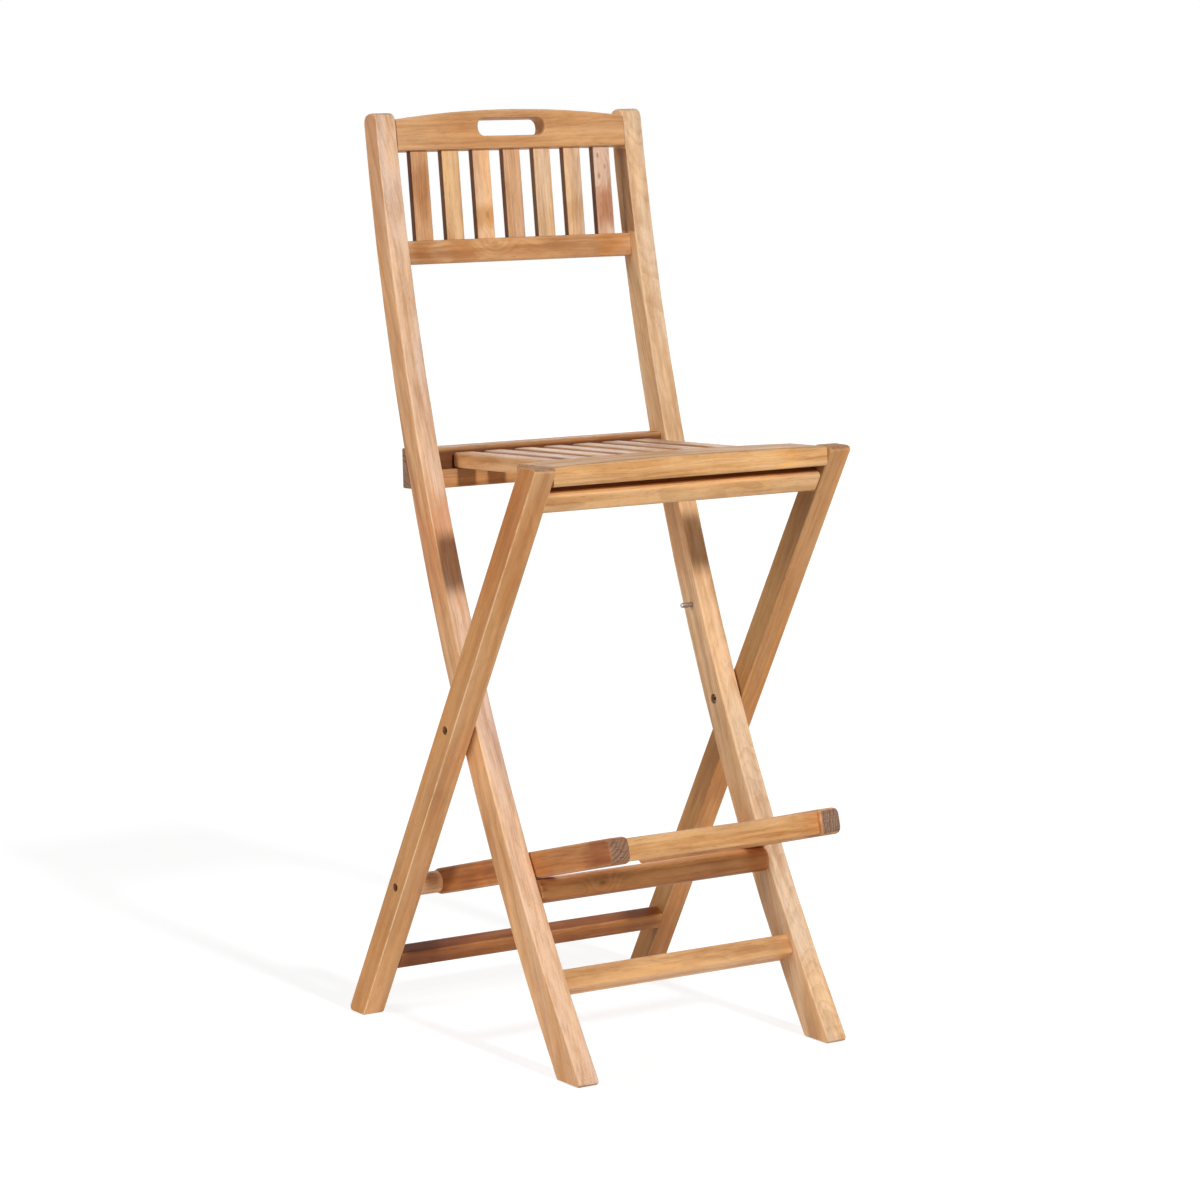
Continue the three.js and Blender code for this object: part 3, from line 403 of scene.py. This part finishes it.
def grain_group():
    """Teak as a solid: growth rings about a heart line, streaks, fibres and pores along x."""
    tree = bpy.data.node_groups.new("teak_grain", "ShaderNodeTree")
    sockets = [
        ("INPUT", "NodeSocketVector", ["Place", "Shift"]),
        ("INPUT", "NodeSocketColor", ["Light", "Dark", "Streak", "Tint"]),
        ("INPUT", "NodeSocketFloat", ["Figure", "End", "End Darkness", "Edge", "Swirl", "Knot"]),
        ("OUTPUT", "NodeSocketColor", ["Color"]),
        ("OUTPUT", "NodeSocketFloat", ["Roughness", "Height"]),
    ]
    for in_out, kind, names in sockets:
        for name in names:
            tree.interface.new_socket(name, in_out=in_out, socket_type=kind)
    g = Graph(tree)
    given = g.add("NodeGroupInput", {}).outputs
    place, shift = given["Place"], given["Shift"]

    def noise(kind):
        return g.noise(place, kind, shift)

    # The rings waver along the trunk and drift sideways with its taper.
    along, across, through = g.add("ShaderNodeSeparateXYZ", {0: place}).outputs
    squares = g.total(g.math("POWER", across, 2.0), g.math("POWER", through, 2.0))
    radius = g.total(
        g.math("SQRT", squares),
        g.swing(noise(WAVER), RING_WAVER),
        g.swing(noise(RIPPLE), RING_RIPPLE),
        g.product(along, TRUNK_TAPER),
        given["Swirl"],
    )
    rings = g.product(radius, 1 / RING)
    uneven = g.noise(g.add("ShaderNodeCombineXYZ", {0: rings}).outputs[0], UNEVEN, shift)
    phase = g.math("FRACT", g.total(rings, g.product(uneven, RING_UNEVENNESS)))
    late = g.between(phase, *LATE_WOOD)
    pore_band = g.between(phase, *PORE_BAND)

    # Light and dark bands, a drift between two hues, dark streaks, pores
    streaks, fibres, clouds = noise(STREAKS), noise(FIBRES), noise(CLOUDS)
    band = g.total(
        g.product(late, g.lifted(uneven, FAINTEST_RING), BAND["rings"]),
        g.product(g.step(streaks, *SHOWS["streaks"]), BAND["streaks"]),
        g.swing(fibres, BAND["fibres"]),
        g.swing(clouds, BAND["clouds"]),
        g.swing(noise(MOTTLE), BAND["mottle"]),
    )
    colour = g.blend(g.clamped(band), given["Light"], given["Dark"])
    hue = g.blend(g.step(noise(DRIFT), *SHOWS["drift"]), YELLOW_HUE, PINK_HUE)
    colour = g.tinted(colour, hue)
    figure = g.product(
        g.step(noise(BLOTCHES), *SHOWS["blotches"]),
        g.step(streaks, *SHOWS["streaked blotches"]),
        given["Figure"],
    )
    colour = g.blend(figure, colour, given["Streak"])
    pores = g.product(g.step(noise(PORES), *SHOWS["pores"]), g.lifted(pore_band, STRAY_PORES))
    pore_tone = g.blend(PORE_DEPTH, given["Streak"], PORE_TONE)
    colour = g.blend(g.product(pores, PORE_COVER), colour, pore_tone)
    colour = g.tinted(colour, given["Tint"])

    # Dry grain and a painted highlight on the arrises, and the darker, checked wood at the ends
    wear_and_highlight = g.product(given["Edge"], g.step(noise(SCUFFS), *SHOWS["scuffs"]))
    colour = g.blend(g.product(wear_and_highlight, ARRIS_WEAR_AND_HIGHLIGHT_COVER), colour, srgb(*DRY_AND_HIGHLIGHTED_ARRIS))
    checks = noise(CHECKS)
    specks = g.step(noise(SPECKS), *SHOWS["specks"])
    end_rings = g.total(g.product(late, END_RING_COVER), specks)
    end_tone = g.blend(end_rings, srgb(*END_LIGHT), srgb(*END_DARK))
    end_tone = g.blend(g.step(checks, *SHOWS["checks"]), end_tone, srgb(*END_CHECK))
    colour = g.blend(g.product(given["End"], given["End Darkness"]), colour, end_tone)
    colour = g.blend(given["Knot"], colour, srgb(*KNOT_TONE))

    roughness = g.total(
        g.product(fibres, ROUGHNESS["fibres"]),
        g.product(clouds, ROUGHNESS["clouds"]),
        g.product(wear_and_highlight, ROUGHNESS["wear_and_highlight"]),
        g.product(given["End"], ROUGHNESS["ends"]),
        ROUGHNESS["base"],
    )
    height = g.total(
        g.product(fibres, RELIEF["fibres"]),
        g.product(pores, RELIEF["pores"]),
        g.product(late, RELIEF["late wood"]),
        g.product(given["End"], checks, RELIEF["checks"]),
    )
    outputs = {"Color": colour, "Roughness": g.clamped(roughness), "Height": height}
    g.add("NodeGroupOutput", outputs)
    return tree


GRAIN = grain_group()
Axes = namedtuple("Axes", "middle along across through length")


def grain_axes(node):
    """Middle and length of a piece, and directions along its grain, across it and through it."""
    points = np.array([v.co for v in node.data.vertices])
    middle = (points.min(0) + points.max(0)) / 2
    if node.name.startswith(GRAIN_IN_SIDE_VIEW):
        _, _, directions = np.linalg.svd(points - points.mean(0), full_matrices=False)
        along = Vector((0, directions[0][1], directions[0][2])).normalized()
        if along.y + along.z < 0:
            along.negate()
        across = Vector((1, 0, 0))
    else:
        # Faces of a rail stand square to each other, so their directions agree in quarter turns.
        faces = [face for face in node.data.polygons if abs(face.normal.x) < LONG_FACE]
        quarter = sum(face.area * complex(face.normal.y, face.normal.z) ** 4 for face in faces)
        tilt = cmath.phase(quarter) / 4
        along, across = Vector((1, 0, 0)), Vector((0, math.cos(tilt), math.sin(tilt)))
    length = float(np.ptp(points @ np.array(along)))
    return Axes(Vector(middle), along, across, along.cross(across), length)


def local_place(point, heart, axes):
    offset = point - heart
    return Vector((offset.dot(axes.along), offset.dot(axes.across), offset.dot(axes.through)))


def knot_masks(g, place, heart, axes, knots):
    """How far the rings bend round the knots, and how dark the knots are."""
    swirl, dark = 0.0, 0.0
    for knot in knots:
        centre = (
            axes.middle
            + axes.along * (knot.share - 0.5) * axes.length
            + axes.across * knot.across
            + axes.through * knot.through
        )
        from_knot = g.vector("SUBTRACT", place, local_place(centre, heart, axes)).outputs[0]
        away = g.vector("LENGTH", g.scaled(from_knot, KNOT_STRETCH)).outputs["Value"]
        size = knot.size
        swirl = g.total(swirl, g.step(away, 0.0, KNOT_REACH * size, KNOT_BEND * size, 0.0))
        core = g.step(away, KNOT_CORE * size, size, knot.darkness, 0.0)
        dark = g.clamped(g.total(dark, core))
    return swirl, dark


# Stains, and painted shadows, laid across a piece by shares of its length.
def with_stains_and_shadows(g, tint, point, place, axes, stains):
    if not stains:
        return tint
    distance = g.dot(g.vector("SUBTRACT", point, axes.middle).outputs[0], axes.along)
    ragged = g.swing(g.noise(place, RAGGED), STAIN_AND_SHADOW_RAGGEDNESS)
    reached = g.total(g.math("DIVIDE", distance, axes.length), 0.5, ragged)
    for stain_or_shadow in stains:
        away = g.math("ABSOLUTE", g.math("SUBTRACT", reached, stain_or_shadow.share))
        patch = g.step(away, STAIN_AND_SHADOW_CORE * stain_or_shadow.half, stain_or_shadow.half, 1.0, 0.0)
        tint = g.blend(patch, tint, (*stain_or_shadow.factors, 1.0))
    return tint


def with_painted_face_shading(g, tint, height, towards, faces):
    # Multiplies painted light and shade into the listed faces, by the way they face
    for which, (low, high, fade), factors in faces:
        within = g.between(height, (low, low + fade), (high - fade, high))
        share = g.product(within, g.step(towards[which], *SHOWS["facing"]))
        tint = g.blend(share, tint, g.tinted(tint, (*factors, 1.0)))
    return tint


def with_painted_rebate_shade(g, tint, depth, height):
    rise = (REBATE_LOW, REBATE_LOW + REBATE_FADE_LOW)
    fall = (REBATE_HIGH - REBATE_FADE_HIGH, REBATE_HIGH)
    front = g.step(depth, REBATE_FRONT, REBATE_FRONT + REBATE_FADE_FRONT, 1.0, 0.0)
    return g.blend(g.product(g.between(height, rise, fall), front), tint, (*PAINTED_REBATE_SHADE, 1.0))


def worn_and_highlighted_arrises(g, name, ends, sides, fronts):
    """The share of wear and painted highlight: highest where a piece's surface faces none of its
    own directions.
    """
    if name.startswith(ROUND):
        return 0.0
    wear_and_highlight = entry(ARRIS_WEAR_AND_HIGHLIGHT, name, USUAL_ARRIS_WEAR_AND_HIGHLIGHT)
    flat = g.math("MAXIMUM", ends, g.math("MAXIMUM", sides, fronts))
    at_ends = g.step(ends, *SHOWS["arrises at the ends"])
    return g.product(g.step(flat, *SHOWS["arrises"], wear_and_highlight, 0.0), at_ends)


def teak_material(node, wood, seed):
    material = bpy.data.materials.new("teak_" + node.name)
    material.use_nodes = True
    tree = material.node_tree
    shader = tree.nodes["Principled BSDF"]
    g = Graph(tree)

    # The piece's place in the tree that it was sawn from
    axes = grain_axes(node)
    turn = GOLDEN_ANGLE * seed
    heart = (
        axes.middle + axes.across * PITH * math.cos(turn) + axes.through * PITH * math.sin(turn)
    )
    rotation = Matrix((axes.along, axes.across, axes.through)).transposed().to_euler()
    here = g.add("ShaderNodeTexCoord", {}).outputs
    point, normal = here["Object"], here["Normal"]
    values = {"Vector": point, "Location": heart, "Rotation": rotation}
    place = g.add("ShaderNodeMapping", values, vector_type="TEXTURE").outputs[0]

    # Which way the surface faces, by the piece's own directions and by the chair's
    ends, sides, fronts = (
        g.math("ABSOLUTE", g.dot(normal, direction))
        for direction in (axes.along, axes.across, axes.through)
    )
    _, depth, height = g.add("ShaderNodeSeparateXYZ", {0: point}).outputs
    rightward, _, upward = g.add("ShaderNodeSeparateXYZ", {0: normal}).outputs
    towards = {
        SIDE: sides,
        INNER: g.product(rightward, -1.0),
        TOP: upward,
        UNDER: g.product(upward, -1.0),
    }

    swirl, dark = knot_masks(g, place, heart, axes, wood.knots)
    # Stains and painted shadows along the piece
    tint = with_stains_and_shadows(g, WHITE, point, place, axes, wood.stains)
    # Painted light and shade on faces, by the way they face
    tint = with_painted_face_shading(g, tint, height, towards, entry(PAINTED_FACE_LIGHT_AND_SHADE, node.name, []))
    # Painted shade in the crossbar's rebate
    if node.name == "seat_rear_crossbar":
        tint = with_painted_rebate_shade(g, tint, depth, height)

    contrast = entry(CONTRAST, node.name, USUAL_CONTRAST)
    values = {
        "Place": place,
        "Shift": tuple(seed * part for part in SHIFT_PER_PIECE),
        "Light": shaded(wood.tone, LIGHT_BAND, contrast),
        "Dark": shaded(wood.tone, DARK_BAND, contrast),
        "Streak": shaded(wood.tone, STREAK),
        "Tint": tint,
        "Figure": wood.figure,
        "End": g.step(ends, *SHOWS["end faces"]),
        "End Darkness": wood.end_darkness,
        "Edge": worn_and_highlighted_arrises(g, node.name, ends, sides, fronts),
        "Swirl": swirl,
        "Knot": dark,
    }
    grain = tree.nodes.new("ShaderNodeGroup")
    grain.node_tree = GRAIN
    for name, value in values.items():
        g.put(grain.inputs[name], value)
    values = {
        "Strength": WOOD_BUMP,
        "Distance": WOOD_BUMP_HEIGHT,
        "Height": grain.outputs["Height"],
        "Normal": g.add("ShaderNodeBevel", {"Radius": ARRIS}, samples=ARRIS_SAMPLES).outputs[0],
    }
    g.put(shader.inputs["Normal"], g.add("ShaderNodeBump", values).outputs[0])
    g.put(shader.inputs["Base Color"], grain.outputs["Color"])
    g.put(shader.inputs["Roughness"], grain.outputs["Roughness"])
    g.put(shader.inputs["Specular IOR Level"], entry(GLOSS, node.name, USUAL_GLOSS))
    return material


def steel_material(name, bright, stained):
    """Turned stainless steel: fine marks round the axis, dulled and stained in places."""
    material = bpy.data.materials.new(name)
    material.use_nodes = True
    shader = material.node_tree.nodes["Principled BSDF"]
    g = Graph(material.node_tree)
    point = g.add("ShaderNodeTexCoord", {}).outputs["Object"]
    marks = g.noise(point, TURNING_MARKS)
    tarnish = g.step(g.noise(point, TARNISH), *SHOWS["tarnish"])
    colour = g.blend(g.product(tarnish, TARNISH_COVER), srgb(*bright), srgb(*stained))
    roughness = g.total(
        g.product(marks, STEEL_ROUGHNESS["marks"]),
        g.product(tarnish, STEEL_ROUGHNESS["tarnish"]),
        STEEL_ROUGHNESS["base"],
    )
    values = {"Strength": STEEL_BUMP, "Distance": STEEL_BUMP_HEIGHT, "Height": marks}
    g.put(shader.inputs["Normal"], g.add("ShaderNodeBump", values).outputs[0])
    g.put(shader.inputs["Base Color"], colour)
    g.put(shader.inputs["Roughness"], roughness)
    g.put(shader.inputs["Metallic"], 1.0)
    return material


def smoothing_group():
    """Joins the facets of a CAD mesh and shades it smooth, except across real corners."""
    tree = bpy.data.node_groups.new("smooth_shading", "GeometryNodeTree")
    for in_out in ("INPUT", "OUTPUT"):
        tree.interface.new_socket("Geometry", in_out=in_out, socket_type="NodeSocketGeometry")
    g = Graph(tree)
    mesh = g.add("NodeGroupInput", {}).outputs[0]
    values = {"Geometry": mesh, "Name": "custom_normal"}
    mesh = g.add("GeometryNodeRemoveAttribute", values).outputs[0]
    values = {"Geometry": mesh, "Distance": WELD}
    mesh = g.add("GeometryNodeMergeByDistance", values).outputs[0]
    values = {0: mesh, "Shade Smooth": True}
    mesh = g.add("GeometryNodeSetShadeSmooth", values, domain="FACE").outputs[0]
    angle = g.add("GeometryNodeInputMeshEdgeAngle", {}).outputs[0]
    settings = {"data_type": "FLOAT", "operation": "GREATER_THAN"}
    corner = g.add("FunctionNodeCompare", {0: angle, 1: SMOOTH_ANGLE}, **settings).outputs[0]
    values = {0: mesh, "Selection": corner, "Shade Smooth": False}
    mesh = g.add("GeometryNodeSetShadeSmooth", values, domain="EDGE").outputs[0]
    g.add("NodeGroupOutput", {0: mesh})
    return tree


def finish_node(node, material):
    node.data.materials.clear()
    node.data.materials.append(material)
    shading = node.modifiers.new("smooth_shading", "NODES")
    shading.node_group = SMOOTHING
    flat_faces = node.modifiers.new("flat_faces", "WEIGHTED_NORMAL")
    flat_faces.weight = FLAT_FACE_WEIGHT
    flat_faces.keep_sharp = True


def linked(name, data):
    """A new object in the scene."""
    thing = bpy.data.objects.new(name, data)
    bpy.context.scene.collection.objects.link(thing)
    return thing


def seen_directly(g):
    """1 for rays that show the background, 0 for rays that light the object."""
    rays = g.add("ShaderNodeLightPath", {}).outputs
    seen = g.math("MAXIMUM", rays["Is Camera Ray"], rays["Is Glossy Ray"])
    return g.math("MAXIMUM", seen, rays["Is Transmission Ray"])


def white_floor():
    """A wide round floor, white where it is lit, with the object's soft shadow."""
    turns = np.linspace(0, 2 * math.pi, FLOOR_SIDES, False)
    corners = [(FLOOR_RADIUS * math.cos(a), FLOOR_RADIUS * math.sin(a), 0.0) for a in turns]
    mesh = bpy.data.meshes.new("floor")
    mesh.from_pydata(corners, [], [list(range(FLOOR_SIDES))])
    floor = linked("floor", mesh)
    floor.location.z = -FLOOR_GAP
    material = bpy.data.materials.new("floor_white")
    material.use_nodes = True
    material.node_tree.nodes.clear()
    g = Graph(material.node_tree)
    bounce = g.add("ShaderNodeBsdfDiffuse", {"Color": FLOOR_BOUNCE}).outputs[0]
    shadow = g.add("ShaderNodeBsdfDiffuse", {"Color": FLOOR_SHADOW}).outputs[0]
    glow = g.add("ShaderNodeEmission", {"Color": WHITE, "Strength": FLOOR_GLOW}).outputs[0]
    both = g.add("ShaderNodeAddShader", {0: shadow, 1: glow}).outputs[0]
    shown = g.add("ShaderNodeMixShader", {0: seen_directly(g), 1: bounce, 2: both}).outputs[0]
    g.add("ShaderNodeOutputMaterial", {"Surface": shown})
    mesh.materials.append(material)


def white_world():
    """White where it is seen, and a weak, even light on the object."""
    world = bpy.data.worlds.new("studio")
    bpy.context.scene.world = world
    world.use_nodes = True
    world.node_tree.nodes.clear()
    g = Graph(world.node_tree)
    light = g.add("ShaderNodeBackground", {"Color": WHITE, "Strength": SKY_LIGHT}).outputs[0]
    white = g.add("ShaderNodeBackground", {"Color": WHITE, "Strength": 1.0}).outputs[0]
    shown = g.add("ShaderNodeMixShader", {0: seen_directly(g), 1: light, 2: white}).outputs[0]
    g.add("ShaderNodeOutputWorld", {"Surface": shown})


def soft_light(name, direction, strength, spread):
    """A wide, even studio light from one direction; strength 1 renders a facing white as white."""
    data = bpy.data.lights.new(name, "SUN")
    data.energy = math.pi * strength
    data.angle = math.radians(spread)
    lamp = linked(name, data)
    lamp.rotation_euler = Vector(direction).to_track_quat("Z", "Y").to_euler()


def photo_camera():
    data = bpy.data.cameras.new("camera")
    data.sensor_width = SENSOR_MM
    data.sensor_fit = "HORIZONTAL"
    data.lens = FOCAL_LENGTH_MM
    camera = linked("camera", data)
    camera.location = CAMERA_PLACE
    tilt, heading = math.radians(90 - CAMERA_DOWNWARD), math.radians(CAMERA_HEADING)
    camera.rotation_euler = Euler((tilt, 0, heading))
    bpy.context.scene.camera = camera


SMOOTHING = smoothing_group()
turned_steel = steel_material("steel_turned", TURNED_STEEL, TURNED_STAIN)
oiled_steel = steel_material("steel_oiled", OILED_STEEL, OILED_STAIN)
for seed, (name, wood) in enumerate(PIECES.items(), start=1):
    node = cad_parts[name]
    finish_node(node, teak_material(node, wood, seed))
for name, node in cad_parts.items():
    if name not in PIECES:
        finish_node(node, turned_steel if name.startswith("stop_pin") else oiled_steel)

white_floor()
white_world()
for name, (direction, strength, spread) in LIGHTS.items():
    soft_light(name, direction, strength, spread)
photo_camera()
bpy.context.scene.view_settings.view_transform = "Standard"
